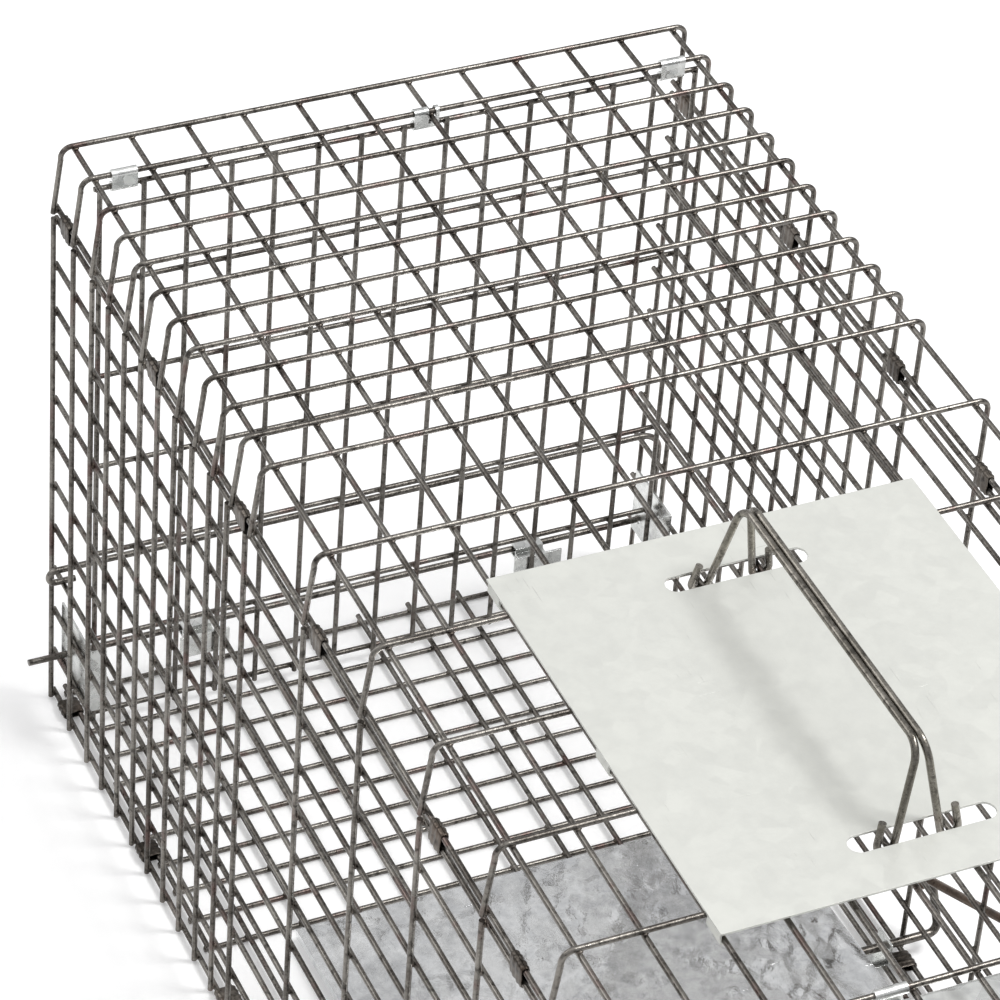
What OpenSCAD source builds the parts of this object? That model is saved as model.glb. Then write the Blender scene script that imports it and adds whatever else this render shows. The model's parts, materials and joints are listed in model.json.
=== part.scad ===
// Live catch trap: a welded wire cage that stands on the ground with its front door raised and set.
// X runs along the trap from the rear door (-X) to the front door (+X), Z is up from the ground.
// The origin is on the ground under the middle of the cage.

/* [Mesh] */
// Diameter of the mesh wire
wire_d = 2.4; // [2.3:0.1:2.8]
// How deep crossing wires sink into each other at a weld
weld_bite = 0.3; // [0.2:0.05:0.5]
// Pitch of the long wires across the top and the floor
long_pitch = 25.4; // [25.4:0.1:26]
// Pitch of the close cross wires of the top, near the rear door
fine_pitch = 19.94; // [19.8:0.01:20]
// Pitch of the close upright wires of the sides
side_fine_pitch = 19.32; // [19.2:0.02:19.4]
// Pitch of the wide spaced wires
wide_pitch = 56.76; // [56.7:0.01:56.8]
// Pitch of the rows of side wires
row_pitch = 24.33; // [24.2:0.01:24.5]

/* [Cage] */
// Distance between the first and the last cross wire
cage_l = 850; // [849.9:0.1:851]
// Distance from the outer left long wire of the top to the uprights of the left wall
left_step = 9.45; // [9.3:0.05:9.6]
// Distance from the outer right long wire of the top to the uprights of the right wall
right_step = 6; // [5.9:0.05:6.2]
// Outward lean of the bent edge on the left, in degrees
lip_lean = 6.9; // [6:0.1:8]
// Height of the top panel over the uppermost row of the sides
top_gap = 36.04; // [35.8:0.02:36.4]
// Drop of the bent edge of the top panel
lip_drop = 30; // [29.5:0.1:30.2]
// Length of one crimped ring
ring_l = 10; // [8:0.5:10.5]

/* [Handle] */
// Size of the guard plate along the trap
guard_l = 203.4; // [202:0.2:206]
// Thickness of the galvanised sheet
sheet_t = 0.9; // [0.8:0.05:1.0]
// Diameter of the handle wires
handle_d = 3; // [2.8:0.1:3.4]
// Height of the grip over the top mesh
grip_z = 38.5; // [36:0.5:42]

/* [Rear door] */
// Width of the rear door between its outer uprights
rear_w = 276.8; // [275:0.2:277]
// Diameter of the lock rod
lock_d = 3; // [2.8:0.1:3]

/* [Trip pan] */
// Length of the pan along the trap
pan_l = 300; // [296:1:301]
// Rise of the set pan towards the front, in degrees
pan_rise = 3.5; // [3:0.1:4]
// Length of the crank arm
arm_l = 28; // [27:0.5:29]

/* [Front door] */
// Width of the front door
front_w = 265; // [262:0.5:266]
// Distance from the hinge axis to the free edge
front_l = 284; // [280:0.5:285]
// Diameter of the hinge rod
hinge_d = 5; // [4.8:0.1:5]

/* [Hidden] */
$fn = 24;

steel = "dimgray";
zinc = "gainsboro";
wire_r = wire_d / 2;
layer = (wire_d - weld_bite) / 2;              // from a weld plane to the middle of either wire
end_poke = 2.5;                                // wire past the last weld
long_count = 12;
row_count = 12;
half_top = long_pitch * (long_count - 1) / 2;
floor_z = wire_r + layer;                      // weld plane of the floor
row_z0 = floor_z + layer;                      // lowest side row and the floor's long wires
top_z = row_z0 + row_pitch * (row_count - 1) + top_gap;
top_wire_z = top_z + layer;
long_wire_z = top_z - layer;
lip_z = top_z - lip_drop;
corner_r = 5;
cage_x = cage_l / 2;
// Distances from the middle plane, for the left (-1) or the right (1): upright wires, side rows, floor edge.
function out_y(s) = half_top + (s < 0 ? left_step : right_step);
function in_y(s) = out_y(s) - 2 * layer;
edge_gap = 5.64;
function floor_edge_y(s) = in_y(s) - edge_gap;

// Places along the trap are counted from the first cross wire at the rear.
function along(d) = d - cage_x;
wide_start = 282.4;
fine_count = 12;
cross_count = fine_count + 1 + floor((cage_l - wide_start) / wide_pitch);
second_cross = 24.6;
third_cross = 47.3;
third_upright = 47.49;
function wide_x(i) = wide_start + (i - fine_count) * wide_pitch;
function cross_x(i) = i == 0 ? 0 : i == 1 ? second_cross
    : i < fine_count ? third_cross + (i - 2) * fine_pitch : wide_x(i);
function upright_x(i) = i == 0 ? 0 : i == 1 ? second_cross
    : i < fine_count ? third_upright + (i - 2) * side_fine_pitch : wide_x(i);
function row_z(k) = row_z0 + k * row_pitch;

module wire_x(x0, x1, y, z, d = wire_d) {
    translate([x0, y, z]) rotate([0, 90, 0]) cylinder(d = d, h = x1 - x0);
}
module wire_y(y0, y1, x, z, d = wire_d) {
    translate([x, y1, z]) rotate([90, 0, 0]) cylinder(d = d, h = y1 - y0);
}
module wire_z(z0, z1, x, y, d = wire_d) {
    translate([x, y, z0]) cylinder(d = d, h = z1 - z0);
}
// A wire laid from the origin along +X: each step is [length, turn to the left, bend radius, roll before it].
// A bend other than a quarter or half turn has a core through both its ends, which joins the wire.
core_share = 0.7;
core_l = 2;
module laid_wire(d, steps, i = 0) {
    if (i < len(steps)) {
        run = steps[i][0];
        turn = steps[i][1];
        r = steps[i][2];
        side = turn < 0 ? -1 : 1;
        rotate([steps[i][3], 0, 0]) {
            rotate([0, 90, 0]) cylinder(d = d, h = run);
            translate([run, side * r, 0]) {
                if (abs(turn) % 90 != 0)
                    for (a = [0, turn]) rotate([0, 0, a]) translate([0, -side * r, 0]) rotate([0, 90, 0])
                        cylinder(d = core_share * d, h = core_l, center = true);
                if (turn != 0)
                    rotate([0, 0, turn < 0 ? 90 + turn : -90])
                        rotate_extrude(angle = abs(turn)) translate([r, 0]) circle(d = d);
                rotate([0, 0, turn]) translate([0, -side * r, 0]) laid_wire(d, steps, i + 1);
            }
        }
    }
}
// Sheet tube along Z, about its middle.
module tube(l, r_in, t) {
    translate([0, 0, -l / 2]) linear_extrude(l) difference() {
        circle(r = r_in + t);
        circle(r = r_in);
    }
}
module plate(x0, x1, y0, y1, z0, z1) {
    translate([x0, y0, z0]) cube([x1 - x0, y1 - y0, z1 - z0]);
}

// ---- Top panel: long wires below, cross wires above, both edges bent down into a lip.
// The left lip leans out to meet its wall, from a kink under each bend.
lip_foot = 0.5;                                // wire below the lip's long wire
kink_l = 1;                                    // straight wire between the bend and the kink
kink_r = 1.04 * wire_r;
kink_gap = 0.15;
module top_cross_half(s, lean) {
    kink_z = top_wire_z - corner_r - kink_l;
    kink_y = out_y(s) - (kink_z - lip_z) * tan(lean);
    leg_l = (kink_z - lip_z + wire_r + lip_foot) / cos(lean);
    mirror([0, s < 0 ? 1 : 0, 0]) {
        translate([0, 0, top_wire_z]) rotate([0, 0, 90]) rotate([90, 0, 0])
            laid_wire(wire_d, [[kink_y - corner_r, -90, corner_r, 0],
                               [lean == 0 ? kink_l + leg_l : kink_l - kink_gap, 0, 1, 0]]);
        if (lean != 0) translate([0, kink_y, kink_z]) {
            sphere(r = kink_r);
            rotate([180 + lean, 0, 0]) translate([0, 0, kink_gap]) cylinder(d = wire_d, h = leg_l - kink_gap);
        }
    }
}
module top_panel() color(steel) {
    for (i = [0 : long_count - 1])
        wire_x(-cage_x - end_poke, cage_x + end_poke, -half_top + i * long_pitch, long_wire_z);
    for (s = [-1, 1]) wire_x(-cage_x - end_poke, cage_x + end_poke, s * in_y(s), lip_z);
    for (i = [0 : cross_count - 1]) translate([along(cross_x(i)), 0, 0]) {
        top_cross_half(-1, lip_lean);
        top_cross_half(1, 0);
    }
}

// ---- Side panels: rows inside, uprights outside.
module side_panel(s) {
    for (k = [0 : row_count - 1])
        wire_x(-cage_x - end_poke, cage_x + end_poke, s * in_y(s), row_z(k));
    for (i = [0 : cross_count - 1])
        wire_z(row_z0 - wire_r - 0.6, row_z(row_count - 1) + wire_r + 0.6, along(upright_x(i)), s * out_y(s));
}
module left_side_panel() color(steel) side_panel(-1);
module right_side_panel() color(steel) side_panel(1);

// ---- Floor panel: long wires above, cross wires below, with a cut-out for the pan.
floor_mid_y = 4.78;
cut_x0 = 184;
cut_x1 = 493;
pan_y0 = -103.5;
pan_y1 = 121;
floor_first_x = 1.2;
floor_second_x = 29.2;
floor_fine_x0 = 47.93;
floor_fine_pitch = 18.65;
floor_fine_count = 8;
front_floor_x0 = 497;
floor_poke = 1.4;
stub_l = 4.5;
function floor_long_y(n) = floor_mid_y + n * long_pitch;
module floor_panel() color(steel) {
    y0 = -floor_edge_y(-1);
    y1 = floor_edge_y(1);
    for (y = [y0, floor_long_y(-5), floor_long_y(5), y1])
        wire_x(-cage_x - end_poke, cage_x + end_poke, y, row_z0);
    for (n = [-4 : 4]) {
        wire_x(-cage_x - end_poke, along(cut_x0), floor_long_y(n), row_z0);
        wire_x(along(cut_x1), cage_x + end_poke, floor_long_y(n), row_z0);
    }
    rear_x = concat([floor_first_x, floor_second_x],
                    [for (k = [0 : floor_fine_count - 1]) floor_fine_x0 + k * floor_fine_pitch]);
    front_x = concat([front_floor_x0], [for (i = [17 : cross_count - 1]) wide_x(i)]);
    for (x = concat(rear_x, front_x))
        wire_y(y0 - floor_poke, y1 + floor_poke, along(x), wire_r);
    for (x = concat([cross_x(11)], [for (i = [12 : 15]) wide_x(i)])) {
        wire_y(y0 - floor_poke, floor_long_y(-5) + stub_l, along(x), wire_r);
        wire_y(floor_long_y(5) - stub_l, y1 + floor_poke, along(x), wire_r);
    }
}

// ---- Crimped sheet rings that tie the panels together along their edges.
ring_gap = 0.15;
module ring(reach) {
    rotate([0, 90, 0]) translate([0, 0, -ring_l / 2]) linear_extrude(ring_l) difference() {
        hull_slot(reach, wire_r + ring_gap + sheet_t);
        hull_slot(reach, wire_r + ring_gap);
    }
}
// A slot outline along local X, with its first centre at the origin.
module hull_slot(reach, r) {
    circle(r = r);
    translate([reach, 0]) circle(r = r);
    translate([0, -r]) square([reach, 2 * r]);
}
ring_row_z = row_z(row_count - 1);
top_ring_x = [12.3, 116, 214.1, 293, 408, 481, 594, 708, 822];
top_right_ring_x = [12.3, 116, 214.1, 291, 424, 537, 651, 765, 822];
bottom_ring_x = [13, 114, 211, 293, 367, 481, 594, 708, 822];
module top_rings(s, places) {
    for (x = places) translate([along(x), s * in_y(s), lip_z]) ring(lip_z - ring_row_z);
}
module bottom_rings(s) {
    for (x = bottom_ring_x) translate([along(x), s * floor_edge_y(s), row_z0])
        rotate([s > 0 ? 90 : -90, 0, 0]) ring(edge_gap);
}
module top_left_rings() color("slategray") top_rings(-1, top_ring_x);
module top_right_rings() color("slategray") top_rings(1, top_right_ring_x);
module bottom_left_rings() color("slategray") bottom_rings(-1);
module bottom_right_rings() color("slategray") bottom_rings(1);

// ---- Handle guard: a plate on the cross wires, with two slots and six tabs curled round two long wires.
guard_x0 = 319;
guard_z = top_wire_z + wire_r + 0.05;
clamp_y = half_top - 2 * long_pitch;
tab_x = [326, 424, 516.6];
tab_l = 10.5;
slot_w = 9;
slot_y0 = -28.7;
slot_y1 = 31.3;
slot_x = [346, 498];
module guard_tab() {
    r_in = wire_r + 0.12;
    rotate([90, 0, 90]) translate([0, 0, -tab_l / 2]) linear_extrude(tab_l) {
        difference() {
            circle(r = r_in + sheet_t);
            circle(r = r_in);
            translate([-10, 0]) square([20, 10]);
            translate([-10, -10]) square([10 - 0.4, 10]);
        }
        translate([r_in, 0]) square([sheet_t, guard_z + sheet_t - long_wire_z]);
    }
}
module guard_slot(x) {
    for (y = [slot_y0 + slot_w / 2, slot_y1 - slot_w / 2])
        translate([along(x), y, guard_z - 1]) cylinder(d = slot_w, h = 3);
    plate(along(x) - slot_w / 2, along(x) + slot_w / 2,
          slot_y0 + slot_w / 2, slot_y1 - slot_w / 2, guard_z - 1, guard_z + 2);
}
module handle_guard() color(zinc) {
    edge = clamp_y + wire_r + 0.12 + sheet_t;
    difference() {
        plate(along(guard_x0), along(guard_x0 + guard_l), -edge, edge, guard_z, guard_z + sheet_t);
        for (x = slot_x) guard_slot(x);
    }
    for (x = tab_x, s = [0, 1]) mirror([0, s, 0]) translate([along(x), clamp_y, long_wire_z]) guard_tab();
}

// ---- Handle: two bent wires side by side, hooked under the two middle long wires through the slots.
grip_half = 70.9;
grip_y = handle_d / 2 + 0.1;
leg_tilt = 11;
leg_turn = 81.9;
grip_r = 9;
hook_r = 3.6;
grip_h = top_z + grip_z;
leg_run = 33;
hook_end = 9;
module half_handle() {
    translate([0, -grip_y, grip_h]) rotate([90 - leg_tilt, 0, 0])
        laid_wire(handle_d, [[grip_half - grip_r * 0.85, -leg_turn, grip_r, 0],
                             [leg_run, 180, hook_r, 90], [hook_end, 0, 1, 0]]);
}
handle_mid = 420.9;
module handle_wire() {
    translate([along(handle_mid), 0, 0]) {
        half_handle();
        mirror([1, 0, 0]) half_handle();
    }
}
module left_handle_wire() color(steel) handle_wire();
module right_handle_wire() color(steel) mirror([0, 1, 0]) handle_wire();

// ---- Strap round a cross wire, over the free edge of the raised front door.
strap_x = wide_x(17);
strap_y = -47;
strap_w = 13;
strap_drop = 8.6;
strap_foot = 2;
module door_stop_strap() color(zinc) {
    r_in = wire_r + 0.1;
    translate([along(strap_x), strap_y, top_wire_z]) {
        rotate([90, 0, 0]) tube(strap_w, r_in, sheet_t);
        plate(-r_in - sheet_t, -r_in, -strap_w / 2, strap_w / 2, -strap_drop, 0);
        plate(-r_in - sheet_t, strap_foot, -strap_w / 2, strap_w / 2, -strap_drop - sheet_t, -strap_drop);
    }
}

// ---- Rear lock: a hairpin rod pushed across the trap behind the rear door, and its two bracket plates.
lock_x = 11;
lock_z = top_z - 272;
lock_upper_z = top_z - 221;
lock_left_y = -164;
lock_right_y = out_y(1) + wire_r + lock_d / 2 + 0.4;
lock_bend_r = 10;
hook_left_y = -151;
lock_hook_r = 3.4;
lock_hook_l = 9;
module rear_lock_rod() color(steel) {
    translate([along(lock_x), lock_left_y, lock_z]) rotate([0, 0, 90]) rotate([90, 0, 0])
        laid_wire(lock_d, [
            [lock_right_y - lock_left_y - lock_bend_r, 90, lock_bend_r, 0],
            [lock_upper_z - lock_z - 2 * lock_bend_r, 90, lock_bend_r, 0],
            [lock_right_y - hook_left_y - lock_bend_r, 180, lock_hook_r, 0],
            [lock_hook_l, 0, 1, 0]]);
}
bracket_x0 = 5;
bracket_x1 = 41;
bracket_z0 = lock_z - 9;
bracket_z1 = lock_z + 26;
bracket_t = 1;
bracket_flange = 8;
bracket_hole_d = 4;
bracket_hole_x = 32;
bracket_hole_z = lock_z + 16;
module lock_bracket(s) {
    y1 = in_y(s) - wire_r + 0.12;
    mirror([0, s < 0 ? 1 : 0, 0]) difference() {
        union() {
            plate(along(bracket_x0), along(bracket_x1), y1 - bracket_t, y1, bracket_z0, bracket_z1);
            plate(along(bracket_x1), along(bracket_x1 + bracket_t), y1 - bracket_flange, y1,
                  bracket_z0, bracket_z1);
        }
        translate([along(lock_x), y1 + 1, lock_z]) rotate([90, 0, 0]) cylinder(d = lock_d + 1.6, h = 4);
        translate([along(bracket_hole_x), y1 + 1, bracket_hole_z]) rotate([90, 0, 0])
            cylinder(d = bracket_hole_d, h = 4);
    }
}
module left_lock_bracket() color(zinc) lock_bracket(-1);
module right_lock_bracket() color(zinc) lock_bracket(1);

// ---- Rear door: mesh hung from the second cross wire by three straps, with two tabs open towards the rear.
rear_upright_x = 26.6;
rear_row_x = rear_upright_x - 2 * layer;
rear_top_z = top_z - 4.9;
rear_bottom_z = top_z - 298.5;
rear_row_pitch = 49.9;
rear_uprights = 15;
rear_poke = 1.9;
short_poke = 0.2;                              // of an upright under a long wire of the top, which it must clear
function rear_y(k) = -rear_w / 2 + k * rear_w / (rear_uprights - 1);
function long_offset(y) = abs((y + half_top) / long_pitch - round((y + half_top) / long_pitch)) * long_pitch;
module rear_door() color(steel) {
    for (z = concat([for (k = [0 : 5]) rear_top_z - k * rear_row_pitch], [rear_bottom_z]))
        wire_y(-rear_w / 2 - rear_poke, rear_w / 2 + rear_poke, along(rear_row_x), z);
    for (k = [0 : rear_uprights - 1])
        wire_z(rear_bottom_z - rear_poke,
               rear_top_z + (long_offset(rear_y(k)) < 1.2 * wire_d ? short_poke : rear_poke),
               along(rear_upright_x), rear_y(k));
}
rear_strap_y = [-127.2, 10.2, 127.3];
rear_strap_w = 11.5;
strap_notch_w = 3.3;
strap_notch_z = -4.9;
module rear_strap() {
    r_in = wire_r + 0.1;
    drop = top_wire_z - rear_top_z;
    lean = second_cross - rear_row_x;
    rotate([90, 0, 0]) difference() {
        translate([0, 0, -rear_strap_w / 2]) linear_extrude(rear_strap_w) {
            circle(r = r_in + sheet_t);
            translate([-lean, -drop]) circle(r = r_in + sheet_t);
            rotate(atan2(-drop, -lean)) translate([0, r_in]) square([norm([drop, lean]), sheet_t]);
        }
        translate([0, 0, -rear_strap_w]) cylinder(r = r_in, h = 2 * rear_strap_w);
        translate([-lean, -drop, -rear_strap_w]) cylinder(r = r_in, h = 2 * rear_strap_w);
    }
}
module rear_door_straps() color(zinc) difference() {
    for (y = rear_strap_y) translate([along(second_cross), y, top_wire_z]) rear_strap();
    // the middle strap straddles a long wire of the top
    translate([along(second_cross) - 5, long_pitch / 2 - strap_notch_w / 2, top_wire_z + strap_notch_z])
        cube([10, strap_notch_w, 10]);
}
// Each tab is a channel that is open towards the lock rod, on a stem with a back plate behind the uprights.
rear_tab_y = [-84, 83];
rear_tab_w = 14;
tab_mouth = 2.6;
tab_depth = 4.6;
tab_back_w = 24;
tab_back_h = 12;
module rear_tab() {
    half = rear_tab_w / 2;
    gap = lock_d / 2 + 0.6;
    web_x = lock_x + tab_depth;
    back_x = rear_upright_x - wire_r - 0.1 - sheet_t;
    for (s = [-1, 1]) plate(lock_x - tab_mouth, web_x, -half, half,
                            s > 0 ? gap : -gap - sheet_t, s > 0 ? gap + sheet_t : -gap);
    plate(web_x - sheet_t, web_x, -half, half, -gap - sheet_t, gap + sheet_t);
    plate(web_x, back_x, -half, half, -sheet_t / 2, sheet_t / 2);
    plate(back_x, back_x + sheet_t, -tab_back_w / 2, tab_back_w / 2, -tab_back_h / 2, tab_back_h / 2);
}
module rear_door_tabs() color(zinc)
    for (y = rear_tab_y) translate([along(0), y, lock_z]) rear_tab();

// ---- Trip pan, tilting on a cranked rod that moves the trigger rod.
pan_x0 = 187;
pan_axis_x = 288.3;
pan_axis_z = 11.2;
pivot_d = 4;
pan_t = 1;
pan_seat = pivot_d / 2 + 0.05;
pan_flange = 3.5;
rod_rise = 27.1;
trigger_y = 153.6;
trigger_d = 4;
arm_y = 159.8;
arm_bend_r = 5;
module on_pan_axis() translate([along(pan_axis_x), 0, pan_axis_z]) children();
module trip_pan() color(zinc) on_pan_axis() rotate([0, -pan_rise, 0]) difference() {
    x0 = pan_x0 - pan_axis_x;
    union() {
        plate(x0, x0 + pan_l, pan_y0, pan_y1, pan_seat, pan_seat + pan_t);
        plate(x0, x0 + pan_l, pan_y0, pan_y0 + pan_t, pan_seat - pan_flange, pan_seat);
        plate(x0, x0 + pan_l, pan_y1 - pan_t, pan_y1, pan_seat - pan_flange, pan_seat);
    }
    rotate([90, 0, 0]) cylinder(r = pivot_d / 2 + 0.03, h = pan_l, center = true);
}
pan_clip_y = [-70, 9, 88];
pan_clip_w = 18;
pan_clip_ear = 10;
module pan_clip() {
    r_in = pivot_d / 2 + 0.05;
    top = pan_seat - 0.05;
    rotate([90, 0, 0]) translate([0, 0, -pan_clip_w / 2]) linear_extrude(pan_clip_w) {
        difference() {
            circle(r = r_in + sheet_t);
            circle(r = r_in);
            translate([-10, 0]) square([20, 10]);
        }
        for (s = [0, 1]) mirror([s, 0]) {
            translate([r_in, 0]) square([sheet_t, top]);
            translate([r_in, top - sheet_t]) square([pan_clip_ear, sheet_t]);
        }
    }
}
module pan_clips() color(zinc) on_pan_axis() rotate([0, -pan_rise, 0])
    for (y = pan_clip_y) translate([0, y, 0]) pan_clip();
pivot_left_y = -137;
arm_tip_l = 3.6;
module pan_pivot_rod() color(steel) on_pan_axis() translate([0, pivot_left_y, 0])
    rotate([0, 0, 90]) rotate([90 - rod_rise, 0, 0])
        laid_wire(pivot_d, [[arm_y - arm_bend_r - pivot_left_y, 90, arm_bend_r, 0],
                            [arm_l - 2 * arm_bend_r, 90, arm_bend_r, 0],
                            [arm_tip_l, 0, 1, 0]]);
bearing_half = 6;
bearing_t = 1.2;
bearing_top = 5.5;
foot_z = row_z0 + wire_r + 0.05;               // underside of sheet that stands on the floor's long wires
module bearing(y, foot0, foot1) {
    foot = foot_z - pan_axis_z;
    difference() {
        union() {
            plate(-bearing_half, bearing_half, y - bearing_t / 2, y + bearing_t / 2, foot, bearing_top);
            plate(-bearing_half, bearing_half, foot0, foot1, foot, foot + sheet_t);
        }
        translate([0, y + 2, 0]) rotate([90, 0, 0]) cylinder(d = pivot_d + 0.16, h = 4);
    }
}
module pan_bearings() color(zinc) on_pan_axis() {
    bearing(-131.3, -138.6, -119.4);
    bearing(133.2, 125.5, 134.9);
}

// ---- Trigger rod: runs up the outside of the right wall and turns in under the raised front door.
eye_x = pan_axis_x - arm_l * sin(rod_rise);
eye_z = pan_axis_z + arm_l * cos(rod_rise);
eye_r = 4.9;
trigger_top_x = 769.7;
trigger_run = (trigger_top_x - eye_x) / cos(rod_rise);
trigger_bend_r = 6;
trigger_tip_y = 138.1;
function trigger_x(z) = eye_x + (z - eye_z) / tan(rod_rise);
module trigger_rod() color("saddlebrown") translate([along(eye_x), trigger_y, eye_z])
    rotate([0, -rod_rise, 0]) {
        rotate([90, 0, 0]) rotate_extrude() translate([eye_r, 0]) circle(d = trigger_d);
        translate([eye_r, 0, 0])
            laid_wire(trigger_d, [[trigger_run - eye_r, -90, trigger_bend_r, 0],
                                  [trigger_y - trigger_tip_y - trigger_bend_r, 0, 1, 0]]);
    }
guide_rows = [4, 10];
guide_l = 9;
module trigger_rod_guides() color(zinc)
    for (k = guide_rows) translate([along(trigger_x(row_z(k))), 0, row_z(k)]) difference() {
        union() {
            translate([0, trigger_y, 0]) rotate([0, 90 - rod_rise, 0])
                cylinder(r = trigger_d / 2 + 0.25 + sheet_t, h = guide_l, center = true);
            translate([0, in_y(1), 0]) rotate([0, 90, 0])
                cylinder(r = wire_r + 0.15 + sheet_t, h = guide_l, center = true);
            plate(-guide_l / 2, guide_l / 2, in_y(1) + wire_r + 0.3, trigger_y - trigger_d / 2 - 0.4,
                  -sheet_t, sheet_t);
        }
        translate([0, trigger_y, 0]) rotate([0, 90 - rod_rise, 0])
            cylinder(r = trigger_d / 2 + 0.25, h = 3 * guide_l, center = true);
        translate([0, in_y(1), 0]) rotate([0, 90, 0])
            cylinder(r = wire_r + 0.15, h = 3 * guide_l, center = true);
    }

// ---- Front door: a sheet with a rolled free edge, strapped to a rod through both walls.
hinge_x = 843;
hinge_z = top_z - 14.5;
knuckle_gap = 0.08;
knuckle_r = hinge_d / 2 + knuckle_gap;
strap_top = knuckle_r + sheet_t;
door_top = strap_top - sheet_t;
roll_r = 2.5;
front_flange = 6;
front_strap_y = [-105, 0, 105];
front_strap_w = 22;
front_strap_l = 42;
rivet_x = [-34, -16];
latch_x0 = -80;
latch_x1 = -56;
latch_reach = 4.9;
module on_hinge() translate([along(hinge_x), 0, hinge_z]) children();
module front_door() color(zinc) on_hinge() {
    edge = front_w / 2;
    plate(-front_l + roll_r, -6, -edge, edge, door_top - sheet_t, door_top);
    translate([-front_l + roll_r, 0, door_top - roll_r]) rotate([90, 0, 0])
        tube(front_w, roll_r - sheet_t, sheet_t);
    for (s = [-1, 1])
        plate(-front_l + 2 * roll_r + 2, -14, s > 0 ? edge - sheet_t : -edge, s > 0 ? edge : -edge + sheet_t,
              door_top - sheet_t - front_flange, door_top - sheet_t);
}
module front_door_straps() color(zinc) on_hinge() for (y = front_strap_y) translate([0, y, 0]) {
    difference() {
        union() {
            rotate([90, 0, 0]) cylinder(r = strap_top, h = front_strap_w, center = true);
            plate(-front_strap_l, 0, -front_strap_w / 2, front_strap_w / 2, door_top, strap_top);
        }
        rotate([90, 0, 0]) cylinder(r = knuckle_r, h = 2 * front_strap_w, center = true);
        for (x = rivet_x) translate([x, 0, door_top - 1]) cylinder(d = 4, h = 3);
    }
}
module front_door_rivets() color("silver") on_hinge()
    for (y = front_strap_y, x = rivet_x) translate([x, y, strap_top + 0.02]) {
        translate([0, 0, -sheet_t + 0.02]) cylinder(d = 3.8, h = sheet_t);
        intersection() {
            translate([0, 0, -4]) sphere(r = 5.4, $fn = 32);
            cylinder(d = 8, h = 3);
        }
    }
module front_latch_plate() color(zinc) on_hinge() {
    edge = front_w / 2;
    plate(latch_x0, latch_x1, edge + 0.02, edge + 1.2, door_top - sheet_t - front_flange, door_top);
    plate(latch_x0 + 6, latch_x1 - 6, edge + 1.2, edge + latch_reach, door_top - sheet_t, door_top);
}
hinge_end_y = 162;
hinge_bend_r = 5;
hinge_leg_l = 12;
module front_hinge_rod() color(steel) on_hinge()
    translate([0, -hinge_end_y, -hinge_bend_r - hinge_leg_l]) rotate([90, 0, 90]) rotate([0, 0, 90])
        laid_wire(hinge_d, [[hinge_leg_l, -90, hinge_bend_r, 0],
                            [2 * (hinge_end_y - hinge_bend_r), -90, hinge_bend_r, 0],
                            [hinge_leg_l, 0, 1, 0]]);

// ---- Front sill: a folded strip across the foot of the doorway, that the closed door stands behind.
sill_x = 829;
sill_top = 24;
sill_y = 140.5;
sill_foot = 13;
sill_lip = 7;
module front_sill() color(zinc) {
    x0 = along(sill_x);
    plate(x0, x0 + sheet_t, -sill_y, sill_y, foot_z, sill_top);
    plate(x0, x0 + sill_foot, -sill_y, sill_y, foot_z, foot_z + sheet_t);
    plate(x0, x0 + sill_lip, -sill_y, sill_y, sill_top - sheet_t, sill_top);
}

top_panel();
left_side_panel();
right_side_panel();
floor_panel();
top_left_rings();
top_right_rings();
bottom_left_rings();
bottom_right_rings();
handle_guard();
left_handle_wire();
right_handle_wire();
door_stop_strap();
left_lock_bracket();
right_lock_bracket();
front_hinge_rod();
front_sill();
pan_bearings();
trigger_rod_guides();
rear_door();
rear_door_straps();
rear_door_tabs();
rear_lock_rod();
trip_pan();
pan_clips();
pan_pivot_rod();
trigger_rod();
front_door();
front_door_straps();
front_door_rivets();
front_latch_plate();
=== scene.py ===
import json
import math
import random

import bpy
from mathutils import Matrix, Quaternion, Vector, noise


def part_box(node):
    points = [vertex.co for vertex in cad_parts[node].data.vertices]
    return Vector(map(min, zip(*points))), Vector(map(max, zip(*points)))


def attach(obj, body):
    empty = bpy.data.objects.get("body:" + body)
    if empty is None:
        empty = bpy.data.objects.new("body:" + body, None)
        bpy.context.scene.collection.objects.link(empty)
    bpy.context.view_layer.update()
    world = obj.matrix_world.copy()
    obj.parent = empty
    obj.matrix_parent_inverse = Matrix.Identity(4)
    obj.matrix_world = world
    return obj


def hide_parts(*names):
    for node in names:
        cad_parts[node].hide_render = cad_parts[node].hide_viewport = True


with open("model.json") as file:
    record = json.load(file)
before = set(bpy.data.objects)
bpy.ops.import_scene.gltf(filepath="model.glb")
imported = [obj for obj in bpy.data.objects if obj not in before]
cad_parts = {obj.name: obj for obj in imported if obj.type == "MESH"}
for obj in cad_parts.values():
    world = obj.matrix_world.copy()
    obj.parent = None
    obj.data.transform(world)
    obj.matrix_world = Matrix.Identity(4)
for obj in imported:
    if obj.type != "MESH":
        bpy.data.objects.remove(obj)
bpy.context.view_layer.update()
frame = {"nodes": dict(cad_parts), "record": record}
NODES = frame["nodes"]
MM = 0.001
scene = bpy.context.scene
scene.view_settings.view_transform = "Standard"
scene.view_settings.look = "None"


# ---------------------------------------------------------------- camera, floor and light
def make_camera():
    data = bpy.data.cameras.new("camera")
    cam = bpy.data.objects.new("camera", data)
    scene.collection.objects.link(cam)
    forward = Vector((-0.6920, 0.3501, -0.6313)).normalized()
    cam.rotation_mode = "QUATERNION"
    cam.rotation_quaternion = forward.to_track_quat("-Z", "Y") @ Quaternion((0, 0, 1), math.radians(4.652))
    cam.location = (1.1376, -0.7172, 1.48245)
    data.sensor_width = 36
    data.lens = 173.403
    data.clip_start, data.clip_end = 0.02, 60
    scene.camera = cam


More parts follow.
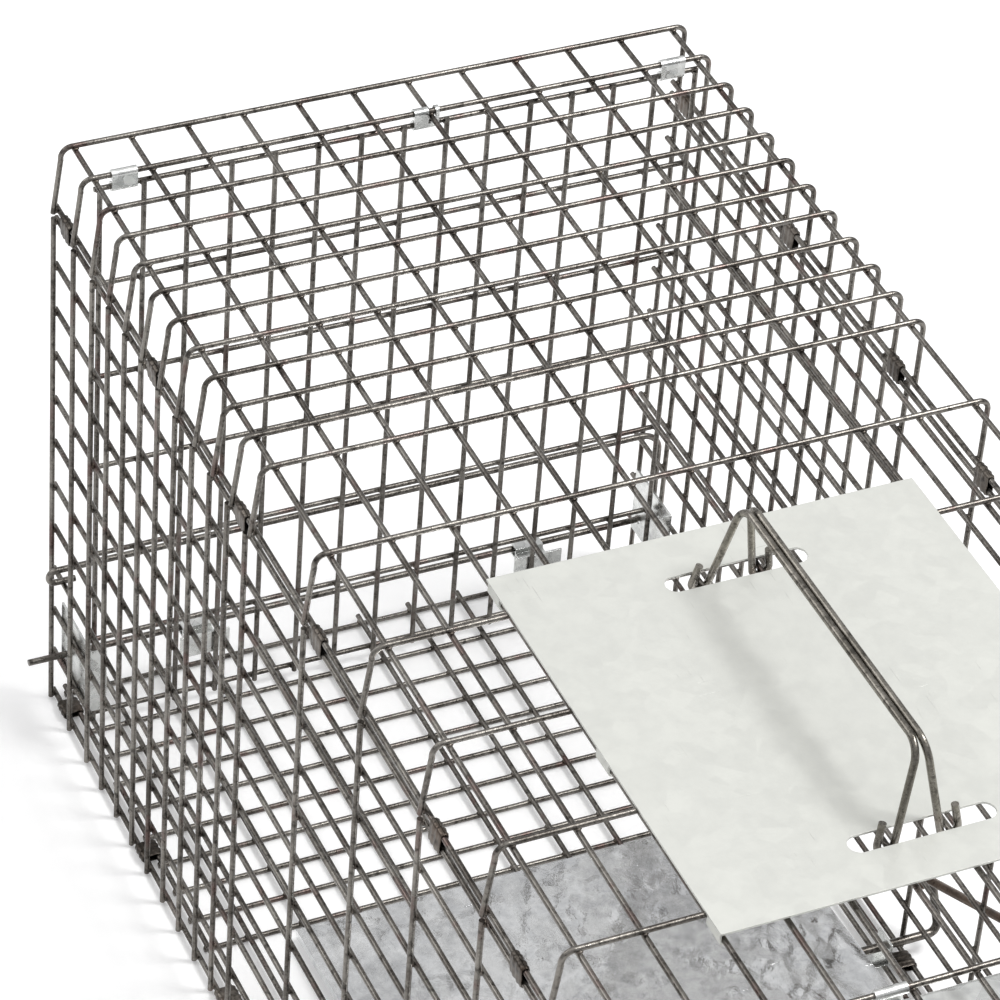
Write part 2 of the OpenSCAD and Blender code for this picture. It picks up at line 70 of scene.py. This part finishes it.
def make_world():
    world = bpy.data.worlds.new("studio")
    scene.world = world
    world.use_nodes = True
    t = world.node_tree
    t.nodes.clear()
    out = t.nodes.new("ShaderNodeOutputWorld")
    coord = t.nodes.new("ShaderNodeTexCoord")
    split = t.nodes.new("ShaderNodeSeparateXYZ")
    ramp = t.nodes.new("ShaderNodeValToRGB")
    lit = t.nodes.new("ShaderNodeBackground")
    seen = t.nodes.new("ShaderNodeBackground")
    mix = t.nodes.new("ShaderNodeMixShader")
    path = t.nodes.new("ShaderNodeLightPath")
    t.links.new(coord.outputs["Generated"], split.inputs[0])
    t.links.new(split.outputs["Z"], ramp.inputs[0])
    r = ramp.color_ramp
    r.elements[0].position, r.elements[0].color = 0.0, (0.20, 0.20, 0.21, 1)
    r.elements[1].position, r.elements[1].color = 1.0, (1.0, 1.0, 1.0, 1)
    middle = r.elements.new(0.40)
    middle.color = (0.56, 0.56, 0.57, 1)
    t.links.new(ramp.outputs[0], lit.inputs["Color"])
    lit.inputs["Strength"].default_value = 1.0
    seen.inputs["Color"].default_value = (0.96, 0.96, 0.96, 1)
    t.links.new(path.outputs["Is Camera Ray"], mix.inputs[0])
    t.links.new(lit.outputs[0], mix.inputs[1])
    t.links.new(seen.outputs[0], mix.inputs[2])
    t.links.new(mix.outputs[0], out.inputs[0])


def area_light(name, place, aim, size, power):
    data = bpy.data.lights.new(name, "AREA")
    data.shape, data.size, data.energy = "DISK", size, power
    light = bpy.data.objects.new(name, data)
    scene.collection.objects.link(light)
    light.location = place
    light.rotation_mode = "QUATERNION"
    light.rotation_quaternion = (Vector(aim) - Vector(place)).to_track_quat("-Z", "Y")


make_camera()
make_world()
area_light("key", (0.5, 1.3, 2.6), (-0.1, 0, 0.1), 0.9, 46)
area_light("fill", (-1.8, -1.6, 2.2), (0, 0, 0.1), 1.6, 14)


# ---------------------------------------------------------------- materials
class Shade:
    """A node material, built with short calls. Every pattern reads object coordinates, in metres."""

    def __init__(self, name):
        self.m = bpy.data.materials.new(name)
        self.m.use_nodes = True
        self.t = self.m.node_tree
        self.bsdf = self.t.nodes["Principled BSDF"]
        self.here = self.t.nodes.new("ShaderNodeTexCoord").outputs["Object"]

    def put(self, socket, value):
        if isinstance(value, bpy.types.NodeSocket):
            self.t.links.new(value, socket)
        else:
            socket.default_value = value

    def math(self, op, *values, clamp=False):
        n = self.t.nodes.new("ShaderNodeMath")
        n.operation, n.use_clamp = op, clamp
        for socket, value in zip(n.inputs, values):
            self.put(socket, value)
        return n.outputs[0]

    def scaled(self, x, y, z, turn=0):
        n = self.t.nodes.new("ShaderNodeMapping")
        self.put(n.inputs["Vector"], self.here)
        n.inputs["Scale"].default_value = (x, y, z)
        n.inputs["Rotation"].default_value = (0, 0, turn)
        return n.outputs[0]

    def noise(self, scale, detail=3, rough=0.55, at=None, bend=0.0):
        n = self.t.nodes.new("ShaderNodeTexNoise")
        self.put(n.inputs["Vector"], at or self.here)
        n.inputs["Scale"].default_value = scale
        n.inputs["Detail"].default_value = detail
        n.inputs["Roughness"].default_value = rough
        n.inputs["Distortion"].default_value = bend
        return n.outputs[0]

    def cells(self, scale):
        n = self.t.nodes.new("ShaderNodeTexVoronoi")
        self.put(n.inputs["Vector"], self.here)
        n.inputs["Scale"].default_value = scale
        return n.outputs["Color"]

    def grey(self, colour):
        n = self.t.nodes.new("ShaderNodeRGBToBW")
        self.put(n.inputs[0], colour)
        return n.outputs[0]

    def ramp(self, value, low, high):
        """0 below low, 1 above high, smooth between."""
        n = self.t.nodes.new("ShaderNodeMapRange")
        n.interpolation_type = "SMOOTHSTEP"
        self.put(n.inputs["Value"], value)
        n.inputs["From Min"].default_value, n.inputs["From Max"].default_value = low, high
        return n.outputs[0]

    def span(self, value, low, high, out_low, out_high):
        n = self.t.nodes.new("ShaderNodeMapRange")
        self.put(n.inputs["Value"], value)
        for key, number in (("From Min", low), ("From Max", high), ("To Min", out_low), ("To Max", out_high)):
            n.inputs[key].default_value = number
        return n.outputs[0]

    def mix(self, share, a, b):
        n = self.t.nodes.new("ShaderNodeMix")
        n.data_type = "RGBA"
        self.put(n.inputs["Factor"], share)
        for socket, value in zip(n.inputs[6:8], (a, b)):
            self.put(socket, value if isinstance(value, bpy.types.NodeSocket) else (*value, 1))
        return n.outputs[2]

    def bumped(self, *heights, edge=0.0):
        """Each height is (value, depth in metres). edge rounds the normals at sharp edges."""
        normal = None
        if edge:
            n = self.t.nodes.new("ShaderNodeBevel")
            n.samples = 4
            n.inputs["Radius"].default_value = edge
            normal = n.outputs[0]
        for value, depth in heights:
            n = self.t.nodes.new("ShaderNodeBump")
            n.inputs["Strength"].default_value = 1.0
            n.inputs["Distance"].default_value = depth
            self.put(n.inputs["Height"], value)
            if normal:
                self.put(n.inputs["Normal"], normal)
            normal = n.outputs[0]
        self.put(self.bsdf.inputs["Normal"], normal)

    def finish(self, colour, rough, metal=1.0):
        self.put(self.bsdf.inputs["Base Color"], colour)
        self.put(self.bsdf.inputs["Roughness"], rough)
        self.bsdf.inputs["Metallic"].default_value = metal
        return self.m


def wire_steel(name, dark, light, tint, rough, rust):
    """Drawn low-carbon steel wire: patchy oxide, fine die lines and warm heat tints."""
    s = Shade(name)
    patch = s.noise(38, 4, 0.6)
    fleck = s.noise(620, 3, 0.7)
    tone = s.math("ADD", s.math("MULTIPLY", patch, 0.6), s.math("MULTIPLY", fleck, 0.4))
    colour = s.mix(s.ramp(tone, 0.36, 0.64), dark, light)
    heat = s.math("MULTIPLY", s.ramp(s.noise(55, 2, 0.5, bend=0.6), 0.56, 0.72), rust)
    colour = s.mix(heat, colour, tint)
    soot = s.ramp(s.noise(210, 2, 0.6), 0.56, 0.70)
    colour = s.mix(s.math("MULTIPLY", soot, 0.7), colour, tuple(c * 0.35 for c in dark))
    lines = s.noise(900, 2, 0.6)
    s.bumped((lines, 0.00010), (patch, 0.0004))
    return s.finish(colour, s.span(fleck, 0.3, 0.7, rough - 0.08, rough + 0.12))


def zinc_sheet(name, dark, light, rough, metal, spangle, waves, marks, cell, dull=0.5):
    """Hot-dip galvanised sheet: crystal spangle, cloudy handling marks, hairline scratches.

    dull is the share of broad clouds in the tone, waves the depth of the dents in metres.
    """
    s = Shade(name)
    cloud = s.noise(14, 4, 0.55, bend=0.4)
    fine = s.noise(160, 4, 0.65)
    grain = s.grey(s.cells(cell))
    tone = s.math("ADD", s.math("MULTIPLY", cloud, dull), s.math("MULTIPLY", fine, 1 - dull))
    tone = s.math("ADD", tone, s.math("MULTIPLY", s.math("SUBTRACT", grain, 0.5), spangle * 2))
    colour = s.mix(s.ramp(tone, 0.32, 0.66), dark, light)
    smudge = s.ramp(s.noise(46, 3, 0.6, bend=0.8), 0.63, 0.78)
    colour = s.mix(s.math("MULTIPLY", smudge, marks), colour, tuple(c * 0.62 for c in dark))
    scratch_a = s.ramp(s.noise(1, 2, 0.5, at=s.scaled(60, 1900, 60, 0.5)), 0.70, 0.76)
    scratch_b = s.ramp(s.noise(1, 2, 0.5, at=s.scaled(1700, 45, 60, 0.25)), 0.71, 0.77)
    scratch = s.math("MAXIMUM", scratch_a, scratch_b)
    gate = s.ramp(s.noise(30, 2, 0.5), 0.50, 0.66)
    scratch = s.math("MULTIPLY", scratch, gate)
    colour = s.mix(s.math("MULTIPLY", scratch, 0.40), colour, tuple(c * 0.5 for c in dark))
    s.bumped((s.noise(22, 2, 0.5), waves), (fine, 0.00006), (scratch, -0.00005), edge=0.00025)
    gloss = s.span(grain, 0.2, 0.8, rough - 0.05, rough + 0.06)
    gloss = s.math("ADD", gloss, s.math("MULTIPLY", smudge, 0.10))
    return s.finish(colour, gloss, metal)


MATERIALS = {
    "cage_wire": wire_steel("cage_wire_oxide", (0.085, 0.076, 0.067), (0.255, 0.240, 0.218),
                            (0.125, 0.072, 0.066), 0.30, 0.55),
    "handle_wire": wire_steel("handle_drawn_steel", (0.15, 0.14, 0.12), (0.33, 0.31, 0.275),
                              (0.18, 0.13, 0.09), 0.28, 0.35),
    "rod_steel": wire_steel("rod_drawn_steel", (0.075, 0.068, 0.06), (0.22, 0.205, 0.185),
                            (0.11, 0.07, 0.055), 0.30, 0.4),
    "trigger_steel": wire_steel("trigger_brown_steel", (0.085, 0.062, 0.048), (0.22, 0.165, 0.125),
                                (0.13, 0.07, 0.045), 0.36, 0.5),
    "ring_steel": wire_steel("ring_dark_oxide", (0.050, 0.043, 0.037), (0.18, 0.16, 0.14),
                             (0.10, 0.065, 0.045), 0.34, 0.4),
    "guard_sheet": zinc_sheet("guard_satin_zinc", (0.665, 0.672, 0.632), (0.705, 0.712, 0.668), 0.44, 0.45,
                              spangle=0.02, waves=0.0003, marks=0.10, cell=120, dull=0.35),
    "bright_sheet": zinc_sheet("bright_zinc", (0.50, 0.51, 0.50), (0.82, 0.83, 0.81), 0.26, 0.95,
                               spangle=0.10, waves=0.0006, marks=0.45, cell=260),
    "pan_sheet": zinc_sheet("pan_mottled_zinc", (0.62, 0.63, 0.64), (0.92, 0.93, 0.93), 0.10, 0.95,
                            spangle=0.05, waves=0.0016, marks=0.35, cell=110),
    "door_sheet": zinc_sheet("door_zinc", (0.58, 0.59, 0.58), (0.82, 0.83, 0.81), 0.30, 0.85,
                             spangle=0.06, waves=0.0010, marks=0.3, cell=110),
    "rivet_steel": zinc_sheet("rivet_bright", (0.45, 0.45, 0.45), (0.78, 0.78, 0.77), 0.25, 1.0,
                              spangle=0.02, waves=0.0002, marks=0.3, cell=400),
}
SLOTS = {row["node"]: row["material_slot"] for row in frame["record"]["subparts"]}


def floor_material():
    s = Shade("studio_floor")
    tone = s.noise(3, 2, 0.5)
    s.bsdf.inputs["Emission Color"].default_value = (1, 1, 1, 1)
    s.bsdf.inputs["Emission Strength"].default_value = 0.16
    return s.finish(s.mix(tone, (0.90, 0.90, 0.90), (0.92, 0.92, 0.92)), 0.75, 0.0)


def dress_frame():
    for name, ob in NODES.items():
        ob.data.materials.clear()
        ob.data.materials.append(MATERIALS[SLOTS[name]])


# ---------------------------------------------------------------- mesh helpers
class Build:
    """Vertices and faces of one piece, in metres."""

    def __init__(self):
        self.v, self.f = [], []

    def grid(self, rows, close=False):
        """Quads between rows of points; close joins the ends of each row."""
        start, n = len(self.v), len(rows[0])
        for row in rows:
            self.v += row
        for i in range(len(rows) - 1):
            a, b = start + i * n, start + (i + 1) * n
            for c in range(n if close else n - 1):
                d = (c + 1) % n
                self.f.append([a + c, a + d, b + d, b + c])

    def piece(self, name, body, slot, replaces=()):
        mesh = bpy.data.meshes.new(name)
        mesh.from_pydata([tuple(p) for p in self.v], [], self.f)
        mesh.validate()
        mesh.polygons.foreach_set("use_smooth", [True] * len(mesh.polygons))
        ob = bpy.data.objects.new(name, mesh)
        scene.collection.objects.link(ob)
        mesh.materials.append(MATERIALS[slot])
        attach(ob, body)
        if replaces:
            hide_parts(*replaces)
        return ob


def clusters(values, gap):
    """Middles of the groups that lie further apart than gap."""
    groups = []
    for value in sorted(values):
        if groups and value - groups[-1][-1] < gap:
            groups[-1].append(value)
        else:
            groups.append([value])
    return [(g[0] + g[-1]) / 2 for g in groups]


def boxes_along_x(node, gap=0.015):
    """The box of each separate solid of a node whose solids stand apart along X."""
    points = sorted((v.co.copy() for v in NODES[node].data.vertices), key=lambda p: p.x)
    groups = [[points[0]]]
    for p in points[1:]:
        if p.x - groups[-1][-1].x > gap:
            groups.append([])
        groups[-1].append(p)
    found = []
    for g in groups:
        found.append(tuple(Vector([pick(p[k] for p in g) for k in range(3)]) for pick in (min, max)))
    return found


def straight_wires(node):
    """Each straight wire of a mesh node as (axis, start, end), found from its two flat end faces."""
    mesh = NODES[node].data
    ends = {}
    for poly in mesh.polygons:
        n = poly.normal
        axis = max(range(3), key=lambda k: abs(n[k]))
        if abs(n[axis]) < 0.9999:
            continue
        centre = Vector((0, 0, 0))
        for i in poly.vertices:
            centre += mesh.vertices[i].co
        centre /= len(poly.vertices)
        key = (axis, n[axis] > 0, *(round(mesh.vertices[poly.vertices[0]].co[k] / 0.0002) for k in (axis,)))
        ends.setdefault(key, []).append((centre, poly.area))
    caps = {}
    for (axis, positive, _), rows in ends.items():
        left = rows[:]
        while left:
            seed = left.pop(0)
            group = [seed]
            rest = []
            for row in left:
                (group if (row[0] - seed[0]).length < 0.0028 else rest).append(row)
            left = rest
            area = sum(r[1] for r in group)
            if area > 2e-6:
                middle = sum((r[0] * r[1] for r in group), Vector((0, 0, 0))) / area
                caps.setdefault((axis, positive), []).append(middle)
    wires = []
    for axis in range(3):
        others = [k for k in range(3) if k != axis]
        for start in caps.get((axis, False), []):
            best = None
            for end in caps.get((axis, True), []):
                if all(abs(end[k] - start[k]) < 0.0008 for k in others) and end[axis] > start[axis]:
                    if best is None or end[axis] < best[axis]:
                        best = end
            if best is not None:
                wires.append((axis, start, best))
    return wires, caps


# ---------------------------------------------------------------- crimped rings
SHEET = 0.85 * MM
RING_AROUND, RING_ALONG = 40, 13                # points round a ring, and cuts along it


def ring_outline(reach, radius, pinch):
    """An open slot-shaped loop: u runs the long way, v across; pinch narrows its middle."""
    points = []
    for i in range(RING_AROUND):
        a = 2 * math.pi * i / (RING_AROUND - 1) + math.pi / 2
        if i == 0:
            a += 0.06                           # the seam stands open by this turn at each lip
        if i == RING_AROUND - 1:
            a -= 0.06
        u = math.copysign(reach, math.sin(a)) * min(1.0, abs(math.sin(a)) * 1.6) + radius * math.sin(a)
        squeeze = max(0.0, 1 - abs(u) / max(reach, 1e-6))
        points.append((u, radius * math.cos(a) * (1 - pinch * squeeze)))
    return points


def ring_rows(lo, hi, seed):
    """One crimped ring round two wires: its outer and its inner rows, from cut to cut along X."""
    rnd = random.Random(seed)
    middle, size = (lo + hi) / 2, hi - lo
    tall = size.z > size.y
    long_half, short_half = max(size.y, size.z) / 2, min(size.y, size.z) / 2
    reach = long_half - short_half
    length = size.x * (0.96 + 0.06 * rnd.random())
    lean = math.radians(rnd.uniform(-5, 5))
    waist = rnd.uniform(0.10, 0.20)
    skins = []
    for outside in (True, False):
        skin = []
        for k in range(RING_ALONG):
            share = k / (RING_ALONG - 1)
            x = middle.x + (share - 0.5) * length
            end = min(share, 1 - share) * length
            rib = 0.20 * MM * math.cos(share * math.pi * 6) if 0.08 < share < 0.92 else -0.10 * MM
            round_off = 0.30 * MM * max(0.0, 1 - end / (0.9 * MM)) ** 2
            if outside:
                radius, pinch = short_half + rib - round_off, waist
            else:
                radius, pinch = short_half - SHEET + round_off * 0.4, waist * 1.2
            row = []
            for u, v in ring_outline(reach, radius, pinch):
                v *= 1 + 0.016 * noise.noise(Vector((x * 900, u * 900, v * 900 + seed)))
                across = v * math.cos(lean) - u * math.sin(lean)
                up = v * math.sin(lean) + u * math.cos(lean)
                y, z = (across, up) if tall else (up, across)
                row.append(Vector((x, middle.y + y, middle.z + z)))
            skin.append(row)
        skins.append(skin)
    return skins


def add_ring(build, lo, hi, seed):
    """The outer and inner skins, the two ends along X and the two lips of the seam."""
    outer, inner = ring_rows(lo, hi, seed)
    if hi.y - lo.y > hi.z - lo.z:
        outer.reverse()
        inner.reverse()
    build.grid(outer)
    build.grid(inner[::-1])
    build.grid([inner[0], outer[0]])
    build.grid([outer[-1], inner[-1]])
    build.grid([[o[0], i[0]] for o, i in zip(outer, inner)])
    build.grid([[i[-1], o[-1]] for o, i in zip(outer, inner)])


def make_rings():
    nodes = ("top_left_rings", "top_right_rings", "bottom_left_rings", "bottom_right_rings")
    for number, node in enumerate(nodes):
        build = Build()
        for k, (lo, hi) in enumerate(boxes_along_x(node)):
            add_ring(build, lo, hi, 100 * number + k)
        build.piece("crimped_" + node, "cage", "ring_steel", (node,))


# ---------------------------------------------------------------- weld nuggets
WIRE_R = 1.2 * MM
WELD_STEP = 2.1 * MM                            # between the middles of two welded wires
CORNER = 5 * MM                                 # radius of the bends of the top's cross wires


def nugget(build, place, normal_axis, seed, wide=1.75, high=0.8):
    """Metal squeezed out between two welded wires."""
    turns, rings = 10, 6
    rows = []
    shift = Vector((seed * 0.713, seed * 0.317, seed * 0.531))
    for i in range(rings + 1):
        polar = math.pi * i / rings
        row = []
        for j in range(turns):
            a = 2 * math.pi * j / turns
            flat = math.sin(polar) * wide
            p = [flat * math.cos(a), flat * math.sin(a), math.cos(polar) * high]
            lump = 1 + 0.22 * noise.noise(Vector(p) * 0.9 + shift)
            p = [c * lump * MM for c in p]
            if normal_axis == 1:
                p = [p[0], p[2], p[1]]
            elif normal_axis == 0:
                p = [p[2], p[1], p[0]]
            row.append(place + Vector(p))
        rows.append(row)
    build.grid(rows, close=True)


def crossings(wires, spacing=WELD_STEP):
    """Places where two straight wires of different directions are welded, with the axis between them."""
    found = []
    for i, (axis_a, a0, a1) in enumerate(wires):
        for axis_b, b0, b1 in wires[i + 1:]:
            if axis_a == axis_b:
                continue
            between = 3 - axis_a - axis_b
            if abs(abs(a0[between] - b0[between]) - spacing) > 0.3 * MM:
                continue
            if not a0[axis_a] - 0.001 < b0[axis_a] < a1[axis_a] + 0.001:
                continue
            if not b0[axis_b] - 0.001 < a0[axis_b] < b1[axis_b] + 0.001:
                continue
            place = Vector((0, 0, 0))
            place[axis_a], place[axis_b] = b0[axis_a], a0[axis_b]
            place[between] = (a0[between] + b0[between]) / 2
            found.append((place, between))
    return found


def make_welds():
    """Nuggets at every weld. The top's bent cross wires have no end cap each way, so they are added here."""
    seed = 0
    for node, body in (("top_panel", "cage"), ("left_side_panel", "cage"), ("right_side_panel", "cage"),
                       ("floor_panel", "cage"), ("rear_door", "rear_door")):
        wires, caps = straight_wires(node)
        lo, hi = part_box(node)
        if node == "top_panel":
            lips = [w for w in wires if w[0] == 0 and w[1].z < hi.z - 10 * MM]
            for x in clusters([c.x for c in caps.get((2, False), [])], 0.002):
                z = hi.z - WIRE_R
                wires.append((1, Vector((x, lo.y + CORNER, z)), Vector((x, hi.y - CORNER, z))))
                for _, start, _ in lips:
                    y = start.y + math.copysign(WELD_STEP, start.y)
                    wires.append((2, Vector((x, y, lo.z)), Vector((x, y, hi.z - CORNER))))
        build = Build()
        seen = set()
        for place, between in crossings(wires):
            key = tuple(round(c / 0.001) for c in place)
            if key in seen:
                continue
            seen.add(key)
            seed += 1
            nugget(build, place, between, seed)
        print("welds", node, len(seen), "wires", len(wires))
        if build.v:
            build.piece("weld_nuggets_" + node, body, "ring_steel")


# ---------------------------------------------------------------- put together
dress_frame()
floor_mesh = bpy.data.meshes.new("floor")
floor_mesh.from_pydata([(-25, -25, 0), (25, -25, 0), (25, 25, 0), (-25, 25, 0)], [], [(0, 1, 2, 3)])
floor = bpy.data.objects.new("floor", floor_mesh)
scene.collection.objects.link(floor)
floor_mesh.materials.append(floor_material())

make_rings()
make_welds()
